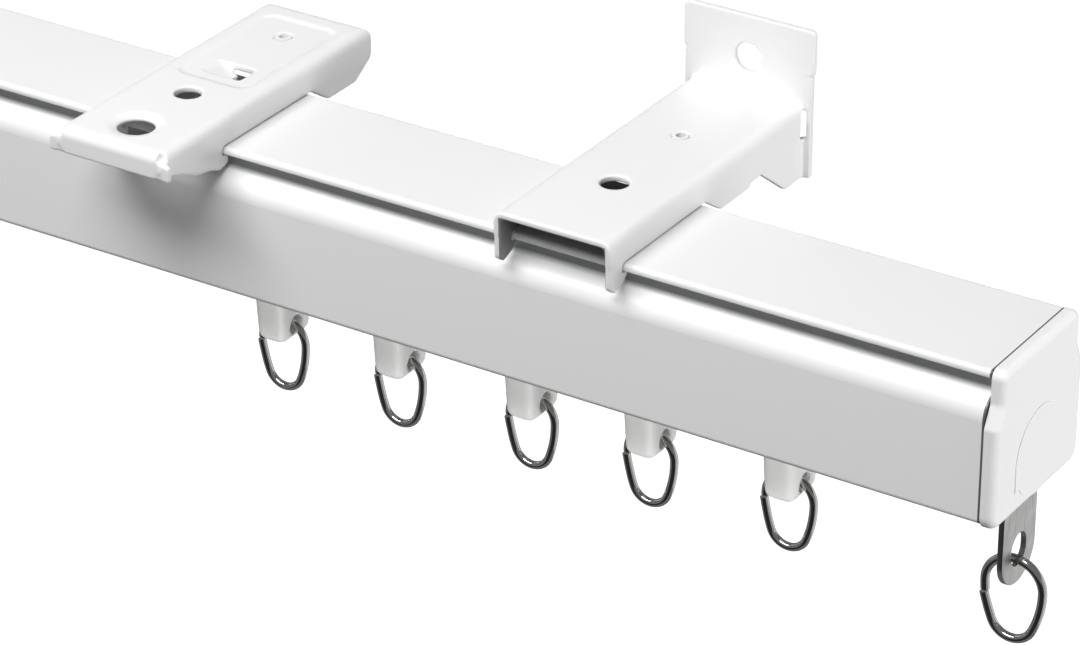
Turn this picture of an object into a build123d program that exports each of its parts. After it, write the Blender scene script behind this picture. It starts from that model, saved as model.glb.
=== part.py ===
from build123d import *
import os
from math import asin, atan2, cos, degrees, radians, sin, tan

# A short length of heavy curtain track: an extruded aluminium rail with a nylon cap on each end,
# five two-wheeled gliders with split rings, an end stop with its ring, and two pressed-steel
# brackets, one for a wall and one for a ceiling. Millimetres. X runs along the rail, -Y faces the
# room, +Z is up. The origin is on the wall, in the middle of the wall bracket's screw hole.

# Where the rail hangs, seen from the wall bracket's screw hole
WALL_TO_RAIL = 45.2
HOLE_ABOVE_RAIL = 10.6
RAIL_RIGHT_END = 75.0

# Rail section
RAIL_LENGTH = 260.0
RAIL_WIDTH = 28.0
RAIL_HEIGHT = 25.8
RAIL_WALL = 1.3
RAIL_FLOOR = 1.5
TOP_WIDTH = 24.6
TOP_THICKNESS = 1.3
NECK_WIDTH = 20.0
GROOVE_HEIGHT = 2.5
SHOULDER_SLOPE = 25.0
SHOULDER_RADIUS = 3.6
BOTTOM_RADIUS = 1.0
TOP_EDGE_RADIUS = 0.8
LIP_UNDERSIDE_RADIUS = 0.3
SLOT_WIDTH = 11.6
SLOT_RIB_HEIGHT = 1.0
SLOT_RIB_THICKNESS = 1.0

# End caps
CAP_THICKNESS = 2.3
CAP_SEAM = 0.2
CAP_OVERHANG = 0.3
CAP_BOTTOM_OVERHANG = 0.9
CAP_EDGE_RADIUS = 1.4
CAP_TOP_RADIUS = 1.6
CAP_CORNER_RADIUS = 2.6
CAP_STEP_TOP = 5.4
CAP_STEP_BOTTOM = 8.9
CAP_STEP_RADIUS = 1.6
PLUG_DEPTH = 8.0
PLUG_CLEARANCE = 0.3
PLUG_ARM_HEIGHT = 11.0
ARCH_WIDTH = 15.0
ARCH_TOP = 10.8
ARCH_BOTTOM = 22.6
ARCH_RISE = 0.15
PEG_RADIUS = 1.6
PEG_HEAD_RADIUS = 2.6
PEG_HEAD_THICKNESS = 0.9
PEG_DEPTH = 16.0

# End stop strip and its ring
STRIP_WIDTH = 11.0
STRIP_THICKNESS = 1.0
STRIP_TOP = 12.5
STRIP_DROP = 17.0
STRIP_PEG_CLEARANCE = 0.1
STRIP_SLOT_WIDTH = 4.9
STRIP_SLOT_SPREAD = 0.8
STRIP_SLOT_MARGIN = 3.1
END_RING_WIDTH = 11.5
END_RING_HEIGHT = 15.9
END_RING_WIRE = 1.5
END_RING_BOTTOM_RADIUS = 3.8

# Gliders
GLIDER_PLACES = (-138.8, -115.0, -89.0, -66.2, -40.4)
WHEEL_RADIUS = 5.0
WHEEL_WIDTH = 3.6
WHEEL_HUB_RADIUS = 2.4
WHEEL_RECESS = 0.5
WHEEL_RUNNING_GAP = 0.3
TREAD_RADIUS = 0.5
AXLE_RADIUS = 1.0
AXLE_HEAD_RADIUS = 1.8
AXLE_HEAD_THICKNESS = 0.6
AXLE_FIT = 0.02
WHEEL_FIT = 0.06
HEAD_LENGTH = 8.0
HEAD_RISE = 3.6
HEAD_RIB_GAP = 0.4
WHEEL_SIDE_GAP = 0.25
WHEEL_RIB_GAP = 0.35
TAB_LENGTH = 7.0
TAB_WIDTH = 9.8
TAB_DROP = 13.8
TAB_TAPER = 2.5
TAB_CORNER_RADIUS = 1.2
TAB_TIP_RADIUS = 1.9
RING_WIDTH = 10.2
RING_HEIGHT = 14.6
RING_WIRE = 1.4
RING_BOTTOM_RADIUS = 3.4
RING_HOLE_RADIUS = 1.7
RING_HOLE_MARGIN = 2.8
RING_HOLE_GAP = 0.2
RING_CUT = 0.35
RING_CUT_DROP = 2.2

# Pressed-steel brackets
STEEL = 1.2
BRACKET_WIDTH = 21.6
BRACKET_RISE = 5.2
BEND_INSIDE = 0.6
SEAT_GAP = 0.1
HOOK_GAP = 0.3
HOOK_REACH = 1.3
NOTCH_CORNER_RADIUS = 0.8
HOOK_CORNER_RADIUS = 0.4
FLANGE_DROP = 3.2
FLANGE_CORNER_RADIUS = 1.2
BACK_SLOPE_LENGTH = 5.0

# The ceiling bracket, with places along it measured from the rail's middle
CEILING_PLACE = -151.6
CEILING_FRONT = 29.0
CEILING_BACK = 30.4
CEILING_BACK_RADIUS = 1.8
CEILING_BACK_SLOPE = 4.8
CEILING_BACK_RISE = 3.0
CEILING_PIVOT = 19.8
CEILING_HOLE_RADIUS = 3.1
CEILING_HOLE_PLACE = -21.3
CEILING_SECOND_RADIUS = 2.3
CEILING_SECOND_PLACE = -7.2
DIMPLE_DEPTH = 0.5
DIMPLE_WIDTH = 1.6
FRONT_LIP_HEIGHT = 4.6
FRONT_LIP_INSET = 1.3
FRONT_LIP_RADIUS = 1.0
FRONT_EAR_RADIUS = 0.5
KNEE_PLACE = 23.8
KNEE_DROP = 0.3
SHELF_PLACE = 19.8
SHELF_DROP = 2.2
SHELF_END = 15.9
SHELF_END_DROP = 2.8
WAVE_RADIUS = 2.0
CEILING_HOOK_TIP = 13.4
CEILING_HOOK_DROP = 3.8
CEILING_HOOK_HEEL_DROP = 3.1
PAD_DEPTH = 0.3
PAD_SLOPE = 60.0
PAD_LENGTH = 26.5
PAD_WIDTH = 14.0
PAD_START = -1.0
PAD_RADIUS = 2.0
WINDOW_LENGTH = 4.8
WINDOW_WIDTH = 7.9
WINDOW_PLACE = 4.1
TONGUE_LENGTH = 4.6
TONGUE_WIDTH = 3.9
TONGUE_SLOPE = 25.0

# The wall bracket
WALL_FRONT = 16.4
WALL_PIVOT = 22.6
WALL_PLATE_WIDTH = 24.8
WALL_PLATE_TOP = 18.1
WALL_PLATE_RADIUS = 1.0
WALL_PLATE_BEND = 1.8
WALL_PLATE_HOLE_RADIUS = 2.6
ARM_HOLE_RADIUS = 2.4
ARM_HOLE_PLACE = 2.4
FOOT_DROP = 8.5
FOOT_LENGTH = 6.7
FOOT_SLOPE_LENGTH = 7.0
WALL_HOOK_SET = 0.3
WALL_HOOK_FRONT_DROP = 3.1
WALL_HOOK_TIP = 14.9
WALL_HOOK_DROP = 4.1
WALL_HOOK_HEEL = 12.3
WALL_HOOK_HEEL_DROP = 3.2
WALL_HOOK_END_DROP = 2.0
NOTCH_RADIUS = 2.6
NOTCH_HEIGHT = 7.6
EAR_REACH = 12.0
EAR_GAP = 0.3
EAR_BEND_INSIDE = 0.5
EAR_SLOT_TOP = 3.8
EAR_SLOT_BOTTOM = -1.3
THUMB_NOTCH_PLACE = 28.9
THUMB_NOTCH_LENGTH = 5.0
THUMB_NOTCH_DEPTH = 0.8

# Locking levers and their rivets
LEVER_THICKNESS = 1.4
LEVER_GAP = 0.3
LEVER_NOSE_WIDTH = 4.0
LEVER_NOSE_BITE = 1.2
LEVER_HUB_RADIUS = 3.4
LEVER_TAIL = 7.6
LEVER_TAB_DROP = 5.0
RIVET_RADIUS = 1.45
RIVET_BORE_RADIUS = 0.8
RIVET_BORE_DEPTH = 2.5
RIVET_HEAD_RADIUS = 3.0
RIVET_HEAD_THICKNESS = 0.8
RIVET_FIT = 0.05

# Places that follow from the sizes above, measured from the rail's right end, middle and top
WALL_PLACE = -RAIL_RIGHT_END
HALF_RAIL = RAIL_WIDTH / 2
HALF_TOP = TOP_WIDTH / 2
HALF_NECK = NECK_WIDTH / 2
HALF_SLOT = SLOT_WIDTH / 2
HALF_BRACKET = BRACKET_WIDTH / 2
RIM = 0.01
LEDGE_TOP = -(TOP_THICKNESS + GROOVE_HEIGHT)
FLOOR_TOP = RAIL_FLOOR - RAIL_HEIGHT
RIB_TOP = FLOOR_TOP + SLOT_RIB_HEIGHT
AXLE_HEIGHT = FLOOR_TOP + WHEEL_RUNNING_GAP + WHEEL_RADIUS
WHEEL_INNER = HALF_SLOT + SLOT_RIB_THICKNESS + WHEEL_RIB_GAP
HEAD_WIDTH = 2 * (WHEEL_INNER - WHEEL_SIDE_GAP)
HEAD_BOTTOM = RIB_TOP + HEAD_RIB_GAP
TAB_BOTTOM = -(RAIL_HEIGHT + TAB_DROP)
STRIP_BOTTOM = -(RAIL_HEIGHT + STRIP_DROP)
BRACKET_UNDERSIDE = BRACKET_RISE - STEEL
LIP_FRONT = -(HALF_TOP + HOOK_GAP)
LIP_BACK = HALF_TOP + HOOK_GAP
HOOK_TOP = -(TOP_THICKNESS + HOOK_GAP)
HOOK_END = LIP_FRONT + HOOK_GAP + HOOK_REACH
LEVER_TOP = -(TOP_THICKNESS + LEVER_GAP)
LEVER_BOTTOM = LEVER_TOP - LEVER_THICKNESS


def shoulder_height(across, depth=0.0):
    """Height of the sloping shoulder at a distance from the middle, or of a line at a depth under it."""
    slope = radians(SHOULDER_SLOPE)
    return LEDGE_TOP - (across - HALF_NECK) * tan(slope) - depth / cos(slope)


def mirrored_face(half_outline):
    """A closed face from the points of its right half, top to bottom."""
    left = [(-across, height) for across, height in reversed(half_outline)]
    return make_face(Polyline(*half_outline, *left, close=True))


def rounded(face, corners, radius):
    """Rounds the corners of a face at the given places, on both sides of its middle."""
    picked = [
        vertex
        for vertex in face.vertices()
        if any(abs(abs(vertex.X) - x) < RIM and abs(vertex.Y - y) < RIM for x, y in corners)
    ]
    return fillet(picked, radius)


def soft_outline(corners):
    """A closed face from its corners, each given as across, height and rounding radius."""
    face = make_face(Polyline(*[(across, height) for across, height, radius in corners], close=True))
    for across, height, radius in corners:
        if radius > 0:
            face = fillet(face.vertices().sort_by_distance((across, height, 0))[0], radius)
    return face


def along_rail(face, start, length):
    """Turns a section drawn as across and height into a solid that runs along the rail."""
    return Pos(start, 0, 0) * extrude(Plane.YZ * face, length)


def on_rail(shape):
    """Moves a shape from the rail's own place to its place below and in front of the screw hole."""
    return Pos(RAIL_RIGHT_END, -WALL_TO_RAIL, -HOLE_ABOVE_RAIL) * shape


def rail_outline():
    """The outside of the rail: a flat top plate with a lip each side, a neck and sloping shoulders."""
    edge = (HALF_RAIL, shoulder_height(HALF_RAIL))
    face = mirrored_face(
        [
            (HALF_TOP, 0),
            (HALF_TOP, -TOP_THICKNESS),
            (HALF_NECK, -TOP_THICKNESS),
            (HALF_NECK, LEDGE_TOP),
            edge,
            (HALF_RAIL, -RAIL_HEIGHT),
        ]
    )
    face = rounded(face, [edge], SHOULDER_RADIUS)
    face = rounded(face, [(HALF_RAIL, -RAIL_HEIGHT)], BOTTOM_RADIUS)
    face = rounded(face, [(HALF_TOP, 0)], TOP_EDGE_RADIUS)
    return rounded(face, [(HALF_TOP, -TOP_THICKNESS)], LIP_UNDERSIDE_RADIUS)


def channel_outline():
    """The inside of the rail, where the wheels run."""
    neck = HALF_NECK - RAIL_WALL
    side = HALF_RAIL - RAIL_WALL
    edge = (side, shoulder_height(side, RAIL_WALL))
    face = mirrored_face(
        [
            (neck, -TOP_THICKNESS),
            (neck, shoulder_height(neck, RAIL_WALL)),
            edge,
            (side, FLOOR_TOP),
        ]
    )
    return rounded(face, [edge], SHOULDER_RADIUS - RAIL_WALL)


def rail():
    """The extruded aluminium rail, open along the bottom between two low ribs."""
    slot = Pos(0, (FLOOR_TOP - RAIL_HEIGHT) / 2) * Rectangle(SLOT_WIDTH, RAIL_FLOOR + 2 * RIM)
    rib_middle = HALF_SLOT + SLOT_RIB_THICKNESS / 2
    rib_height = (RIB_TOP + FLOOR_TOP) / 2
    ribs = [
        Pos(side * rib_middle, rib_height) * Rectangle(SLOT_RIB_THICKNESS, SLOT_RIB_HEIGHT)
        for side in (-1, 1)
    ]
    section = rail_outline() - channel_outline() - slot + ribs
    return along_rail(section, -RAIL_LENGTH, RAIL_LENGTH)


def cap_outline():
    """The cap's plate: straight past the groove, then a step out, and a little proud of the rail."""
    top = (HALF_TOP + CAP_OVERHANG, CAP_OVERHANG)
    step_top = (HALF_TOP + CAP_OVERHANG, -CAP_STEP_TOP)
    step_bottom = (HALF_RAIL + CAP_OVERHANG, -CAP_STEP_BOTTOM)
    bottom = (HALF_RAIL + CAP_OVERHANG, -(RAIL_HEIGHT + CAP_BOTTOM_OVERHANG))
    face = mirrored_face([top, step_top, step_bottom, bottom])
    face = rounded(face, [step_top, step_bottom], CAP_STEP_RADIUS)
    face = rounded(face, [top], CAP_TOP_RADIUS)
    return rounded(face, [bottom], CAP_CORNER_RADIUS)


def arch_outline():
    """The low raised arch on the cap's outer face."""
    radius = ARCH_WIDTH / 2
    height = ARCH_BOTTOM - ARCH_TOP - radius
    leg = Pos(0, -ARCH_BOTTOM + height / 2) * Rectangle(ARCH_WIDTH, height)
    return leg + Pos(0, -ARCH_TOP - radius) * Circle(radius)


def end_cap(holds_strip):
    """A moulded nylon cap for the right end: plate, hollow plug and a peg that can hold the strip."""
    plate = along_rail(cap_outline(), 0, CAP_THICKNESS)
    outer_rim = plate.faces().sort_by(Axis.X)[-1].edges()
    plate = fillet(outer_rim, CAP_EDGE_RADIUS)
    plate += along_rail(arch_outline(), CAP_THICKNESS, ARCH_RISE)
    plug = along_rail(offset(channel_outline(), -PLUG_CLEARANCE), -PLUG_DEPTH, PLUG_DEPTH)
    passage_height = RAIL_HEIGHT - PLUG_ARM_HEIGHT
    passage = Rectangle(SLOT_WIDTH + 2 * SLOT_RIB_THICKNESS + PLUG_CLEARANCE, passage_height)
    plug -= along_rail(Pos(0, -PLUG_ARM_HEIGHT - passage_height / 2) * passage, -PLUG_DEPTH, PLUG_DEPTH)
    peg = along_rail(Pos(0, -PEG_DEPTH) * Circle(PEG_RADIUS), -STRIP_THICKNESS, STRIP_THICKNESS)
    cap = plate + plug + peg
    if holds_strip:
        head = Pos(0, -PEG_DEPTH) * Circle(PEG_HEAD_RADIUS)
        cap += along_rail(head, -STRIP_THICKNESS - PEG_HEAD_THICKNESS, PEG_HEAD_THICKNESS)
    return cap


def end_strip():
    """The flat steel strip behind the right cap, which hangs on the cap's peg and holds the end ring."""
    half = STRIP_WIDTH / 2
    body = Pos(0, (STRIP_BOTTOM + half - STRIP_TOP) / 2)
    face = body * Rectangle(STRIP_WIDTH, -STRIP_TOP - STRIP_BOTTOM - half)
    face += Pos(0, STRIP_BOTTOM + half) * Circle(half)
    face -= Pos(0, -PEG_DEPTH) * Circle(PEG_RADIUS + STRIP_PEG_CLEARANCE)
    slot = Rot(0, 0, 90) * SlotCenterToCenter(STRIP_SLOT_SPREAD, STRIP_SLOT_WIDTH)
    slot_middle = STRIP_BOTTOM + STRIP_SLOT_MARGIN + (STRIP_SLOT_WIDTH + STRIP_SLOT_SPREAD) / 2
    face -= Pos(0, slot_middle) * slot
    return along_rail(face, -STRIP_THICKNESS, STRIP_THICKNESS)


def split_ring(width, height, wire, bottom_radius):
    """A bent wire ring with its top wire at the origin, cut through on its left side.

    Its line is a half circle on top, two long side arcs and a tighter arc at the bottom.
    """
    radius = (width - wire) / 2
    reach = height - wire - radius - bottom_radius
    side_radius = (radius**2 + reach**2 - bottom_radius**2) / (2 * (radius - bottom_radius))
    side_shift = side_radius - radius
    turn = degrees(atan2(reach, side_shift))
    cut = degrees(asin(RING_CUT_DROP / side_radius))
    half_gap = degrees(RING_CUT / 2 / side_radius)
    left = (side_shift, -radius)
    path = CenterArc(left, side_radius, 180 + cut + half_gap, turn - cut - half_gap)
    path += CenterArc((0, -radius - reach), bottom_radius, 180 + turn, 180 - 2 * turn)
    path += CenterArc((-side_shift, -radius), side_radius, -turn, turn)
    path += CenterArc((0, -radius), radius, 0, 180)
    path += CenterArc(left, side_radius, 180, cut - half_gap)
    lean = radians(cut + half_gap)
    first = (side_shift - side_radius * cos(lean), -radius - side_radius * sin(lean), 0)
    start = Plane(first, z_dir=(sin(lean), -cos(lean), 0))
    return Rot(90, 0, 0) * sweep(start * Circle(wire / 2), path=path)


def ring_drop(width, wire, reach):
    """From the middle of the ring's top wire down to its underside, at a distance to one side."""
    middle_radius = (width - wire) / 2
    inner_radius = width / 2 - wire
    return middle_radius - (inner_radius**2 - reach**2) ** 0.5


def glider_body():
    """One nylon moulding: a head above the slot for the axle, a tapered tab below for the ring."""
    head_height = AXLE_HEIGHT + HEAD_RISE - HEAD_BOTTOM
    head = Pos(0, 0, HEAD_BOTTOM + head_height / 2) * Box(HEAD_LENGTH, HEAD_WIDTH, head_height)
    head = fillet(head.edges().filter_by(Axis.Y).group_by(Axis.Z)[-1], HEAD_RISE / 2)
    outline = RectangleRounded(TAB_LENGTH, TAB_WIDTH, TAB_CORNER_RADIUS)
    tab = extrude(Pos(0, 0, HEAD_BOTTOM) * outline, TAB_BOTTOM - HEAD_BOTTOM, taper=TAB_TAPER)
    tab = fillet(tab.faces().sort_by(Axis.Z)[0].edges(), TAB_TIP_RADIUS)
    body = head + tab
    body -= Pos(0, 0, AXLE_HEIGHT) * Rot(90, 0, 0) * Cylinder(AXLE_RADIUS + AXLE_FIT, HEAD_WIDTH)
    hole_height = TAB_BOTTOM + RING_HOLE_MARGIN
    body -= Pos(0, 0, hole_height) * Rot(0, 90, 0) * Cylinder(RING_HOLE_RADIUS, TAB_LENGTH)
    return body


def ring_top_height():
    """Where the middle of a glider ring's top wire sits, so that the ring rests on the hole's edges."""
    hole_bottom = TAB_BOTTOM + RING_HOLE_MARGIN - RING_HOLE_RADIUS
    taper = tan(radians(TAB_TAPER)) * (HEAD_BOTTOM - hole_bottom)
    reach = TAB_LENGTH / 2 - taper
    return hole_bottom + RING_HOLE_GAP + ring_drop(RING_WIDTH, RING_WIRE, reach)


def end_ring_top_height():
    """Where the middle of the end ring's top wire sits in the strip's slot."""
    slot_bottom = STRIP_BOTTOM + STRIP_SLOT_MARGIN
    return slot_bottom + RING_HOLE_GAP + ring_drop(END_RING_WIDTH, END_RING_WIRE, STRIP_THICKNESS / 2)


def turned_on_axle(half_outline, side):
    """A turned piece on the axle's line, from points given as radius and distance from the middle."""
    face = make_face(Polyline(*[(radius, side * across) for radius, across in half_outline], close=True))
    return Pos(0, 0, AXLE_HEIGHT) * revolve(face, Axis.Y)


def wheel(side):
    """A nylon wheel with a proud hub and a rounded tread, on the front or the back of the head."""
    inner = WHEEL_INNER
    outer = inner + WHEEL_WIDTH
    bore = AXLE_RADIUS + WHEEL_FIT
    rim = WHEEL_RADIUS - TREAD_RADIUS
    outline = [
        (bore, inner),
        (rim, inner),
        (WHEEL_RADIUS, inner + TREAD_RADIUS),
        (WHEEL_RADIUS, outer - TREAD_RADIUS),
        (rim, outer),
        (rim - TREAD_RADIUS, outer),
        (rim - TREAD_RADIUS, outer - WHEEL_RECESS),
        (WHEEL_HUB_RADIUS, outer - WHEEL_RECESS),
        (WHEEL_HUB_RADIUS, outer),
        (bore, outer),
    ]
    return turned_on_axle(outline, side)


def axle():
    """The steel pin through the head, spread into a flat head outside each wheel."""
    seat = WHEEL_INNER + WHEEL_WIDTH + WHEEL_SIDE_GAP
    end = seat + AXLE_HEAD_THICKNESS
    outline = [
        (0, -end),
        (AXLE_HEAD_RADIUS, -end),
        (AXLE_HEAD_RADIUS, -seat),
        (AXLE_RADIUS, -seat),
        (AXLE_RADIUS, seat),
        (AXLE_HEAD_RADIUS, seat),
        (AXLE_HEAD_RADIUS, end),
        (0, end),
    ]
    return turned_on_axle(outline, 1)


def channel_block(inset, front, back, drop):
    """A bar along Y with both top edges rounded, smaller than the bracket's outside by the inset."""
    top = BRACKET_RISE - inset
    face = Pos(0, (top - drop) / 2) * Rectangle(BRACKET_WIDTH - 2 * inset, top + drop)
    face = fillet(face.vertices().group_by(Axis.Y)[-1], BEND_INSIDE + STEEL - inset)
    return extrude(Plane((0, back, 0), x_dir=(1, 0, 0), z_dir=(0, -1, 0)) * face, front + back)


def steel_channel(front, back, drop):
    """A folded channel along Y, open below, with the steel's bend radius on both long folds."""
    return channel_block(0, front, back, drop) - channel_block(STEEL, front, back, drop)


def lip_notch(heel):
    """The lower edge of a side flange round the rail's top plate, from the hook's heel to the back."""
    return [
        heel,
        (HOOK_END, HOOK_TOP, 0),
        (LIP_FRONT, HOOK_TOP, HOOK_CORNER_RADIUS),
        (LIP_FRONT, SEAT_GAP, NOTCH_CORNER_RADIUS),
        (LIP_BACK, SEAT_GAP, 0),
        (LIP_BACK + BACK_SLOPE_LENGTH, -FLANGE_DROP, FLANGE_CORNER_RADIUS),
    ]


def cut_to_outline(channel, outline):
    """Trims a channel to a side view given as corners of y, z and rounding."""
    return channel & along_rail(soft_outline(outline), -HALF_BRACKET, BRACKET_WIDTH)


def ceiling_outline():
    """The ceiling bracket from the side: rolled front, wavy front edge, hook, notch, chamfered back."""
    low = BRACKET_RISE - FRONT_LIP_HEIGHT
    wave = [
        (-CEILING_FRONT, BRACKET_RISE, BEND_INSIDE + STEEL),
        (-CEILING_FRONT, low, 0),
        (-CEILING_FRONT + 2 * STEEL, low, 0),
        (-KNEE_PLACE, -KNEE_DROP, WAVE_RADIUS),
        (-SHELF_PLACE, -SHELF_DROP, WAVE_RADIUS),
        (-SHELF_END, -SHELF_END_DROP, WAVE_RADIUS / 2),
        (-CEILING_HOOK_TIP, -CEILING_HOOK_DROP, 2 * HOOK_CORNER_RADIUS),
    ]
    back = [
        (CEILING_BACK - CEILING_BACK_SLOPE, -FLANGE_DROP, FLANGE_CORNER_RADIUS),
        (CEILING_BACK, CEILING_BACK_RISE - FLANGE_DROP, CEILING_BACK_RADIUS),
        (CEILING_BACK, BRACKET_RISE, CEILING_BACK_RADIUS),
    ]
    return wave + lip_notch((HOOK_END, -CEILING_HOOK_HEEL_DROP, HOOK_CORNER_RADIUS)) + back


def ceiling_hollow():
    """The room inside the ceiling bracket's bent sheet, open below and at the back."""
    low = -2 * CEILING_HOOK_DROP
    room = [
        (STEEL - CEILING_FRONT, low, 0),
        (STEEL - CEILING_FRONT, BRACKET_UNDERSIDE, BEND_INSIDE),
        (2 * CEILING_BACK, BRACKET_UNDERSIDE, 0),
        (2 * CEILING_BACK, low, 0),
    ]
    block = channel_block(STEEL, CEILING_FRONT, 2 * CEILING_BACK, -low)
    return cut_to_outline(block, room)


def front_corner_cut():
    """What is cut away round the rolled front: both its sides, down to its rounded lower corners."""
    half = HALF_BRACKET - FRONT_LIP_INSET
    tall = 2 * FRONT_LIP_HEIGHT
    lip = Pos(0, BRACKET_RISE - FRONT_LIP_HEIGHT + tall / 2) * RectangleRounded(2 * half, tall, FRONT_LIP_RADIUS)
    depth = STEEL + EAR_BEND_INSIDE
    plane = Plane((0, depth - CEILING_FRONT, 0), x_dir=(1, 0, 0), z_dir=(0, -1, 0))
    cut = extrude(plane * (Rectangle(2 * BRACKET_WIDTH, 4 * tall) - lip), 2 * depth)
    slit = Box(2 * STEEL, EAR_BEND_INSIDE, tall, align=(Align.MIN, Align.MAX, Align.MAX))
    slit = Pos(half - STEEL, depth - CEILING_FRONT, BRACKET_UNDERSIDE - BEND_INSIDE) * slit
    return cut + slit + mirror(slit, Plane.YZ)


def ear_plan():
    """A curled flange end from above: a lead, a quarter bend round the origin and a flat tip."""
    outer = EAR_BEND_INSIDE + STEEL
    plan = Circle(outer) - Circle(EAR_BEND_INSIDE)
    plan &= Pos(-outer / 2, outer / 2) * Rectangle(outer, outer)
    flat = EAR_REACH - HALF_BRACKET - EAR_BEND_INSIDE
    plan += Pos(flat / 2, outer - STEEL / 2) * Rectangle(flat, STEEL)
    return plan + Pos(STEEL / 2 - outer, -EAR_GAP) * Rectangle(STEEL, 2 * EAR_GAP)


def front_ear():
    """The right flange's front end, curled out level with the rolled front."""
    low = BRACKET_RISE - FRONT_LIP_HEIGHT
    curl = extrude(mirror(ear_plan(), Plane.XZ), BRACKET_UNDERSIDE - BEND_INSIDE - low, dir=(0, 0, 1))
    curl = fillet(curl.edges().filter_by(Axis.Y).group_by(Axis.X)[-1], FRONT_EAR_RADIUS)
    return Pos(HALF_BRACKET + EAR_BEND_INSIDE, STEEL + EAR_BEND_INSIDE - CEILING_FRONT, low) * curl


def sunk_pad(shell):
    """Presses the shallow pad with sloping sides into the ceiling bracket's top."""
    middle = (0, PAD_START + PAD_LENGTH / 2)
    under = RectangleRounded(PAD_WIDTH + 2 * STEEL, PAD_LENGTH + 2 * STEEL, PAD_RADIUS + STEEL)
    shell += Pos(*middle, BRACKET_UNDERSIDE - PAD_DEPTH) * extrude(under, PAD_DEPTH)
    hollow = extrude(RectangleRounded(PAD_WIDTH, PAD_LENGTH, PAD_RADIUS), PAD_DEPTH, taper=-PAD_SLOPE)
    return shell - Pos(*middle, BRACKET_RISE - PAD_DEPTH) * hollow


def window_tongue():
    """The tongue lanced from the window's left edge and pressed down."""
    tongue = Box(TONGUE_LENGTH, TONGUE_WIDTH, STEEL, align=(Align.MIN, Align.CENTER, Align.MAX))
    root = Pos(-WINDOW_WIDTH / 2, WINDOW_PLACE, BRACKET_RISE - PAD_DEPTH)
    return root * Rot(0, TONGUE_SLOPE, 0) * tongue


def ceiling_shell():
    """The ceiling bracket's pressed channel, with its rolled front, holes, sunk pad and window."""
    block = channel_block(0, CEILING_FRONT, CEILING_BACK, CEILING_HOOK_DROP)
    shell = cut_to_outline(block, ceiling_outline()) - ceiling_hollow() - front_corner_cut()
    shell = sunk_pad(shell + front_ear() + mirror(front_ear(), Plane.YZ))
    shell -= Pos(0, WINDOW_PLACE, BRACKET_RISE) * Box(WINDOW_WIDTH, WINDOW_LENGTH, 4 * STEEL)
    shell += window_tongue()
    shell -= round_hole(CEILING_HOLE_RADIUS, CEILING_HOLE_PLACE)
    dimple = Cone(CEILING_HOLE_RADIUS, CEILING_HOLE_RADIUS + DIMPLE_WIDTH, DIMPLE_DEPTH)
    shell -= Pos(0, CEILING_HOLE_PLACE, BRACKET_RISE - DIMPLE_DEPTH / 2) * dimple
    shell -= round_hole(CEILING_SECOND_RADIUS, CEILING_SECOND_PLACE)
    return shell - round_hole(RIVET_RADIUS + RIM, CEILING_PIVOT)


def round_hole(radius, place):
    """A drill through a bracket's top, at a place along its length."""
    return Pos(0, place, BRACKET_RISE) * Cylinder(radius, 4 * STEEL)


def bend_filling(radius):
    """The corner left between a fold's arc and the two flat sheets, across the wall bracket's arm."""
    centre = (WALL_TO_RAIL - STEEL - WALL_PLATE_BEND, BRACKET_RISE + WALL_PLATE_BEND)
    corner = Pos(centre[0] + radius / 2, centre[1] - radius / 2) * Rectangle(radius, radius)
    width = BRACKET_WIDTH - 2 * (BEND_INSIDE + STEEL)
    return along_rail(corner - Pos(*centre) * Circle(radius), -width / 2, width)


def wall_outline():
    """The wall bracket from the side: the leaf-shaped hook, the notch, a thumb notch and the foot."""
    foot_front = WALL_TO_RAIL - FOOT_LENGTH
    hook = [
        (-WALL_FRONT, BRACKET_RISE, 0),
        (-WALL_FRONT + WALL_HOOK_SET, -WALL_HOOK_FRONT_DROP, 2 * HOOK_CORNER_RADIUS),
        (-WALL_HOOK_TIP, -WALL_HOOK_DROP, HOOK_CORNER_RADIUS),
        (-WALL_HOOK_HEEL, -WALL_HOOK_HEEL_DROP, HOOK_CORNER_RADIUS),
    ]
    thumb = (THUMB_NOTCH_LENGTH / 2, THUMB_NOTCH_LENGTH / 2 - THUMB_NOTCH_DEPTH)
    thumb_top = THUMB_NOTCH_DEPTH - FLANGE_DROP
    foot = [
        (THUMB_NOTCH_PLACE - thumb[0], -FLANGE_DROP, 0),
        (THUMB_NOTCH_PLACE - thumb[1], thumb_top, 0),
        (THUMB_NOTCH_PLACE + thumb[1], thumb_top, 0),
        (THUMB_NOTCH_PLACE + thumb[0], -FLANGE_DROP, 0),
        (foot_front - FOOT_SLOPE_LENGTH, -FLANGE_DROP, 0),
        (foot_front, -FOOT_DROP, FLANGE_CORNER_RADIUS),
        (WALL_TO_RAIL, -FOOT_DROP, 0),
        (WALL_TO_RAIL, BRACKET_RISE, 0),
    ]
    return hook + lip_notch((HOOK_END, -WALL_HOOK_END_DROP, 0)) + foot


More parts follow.
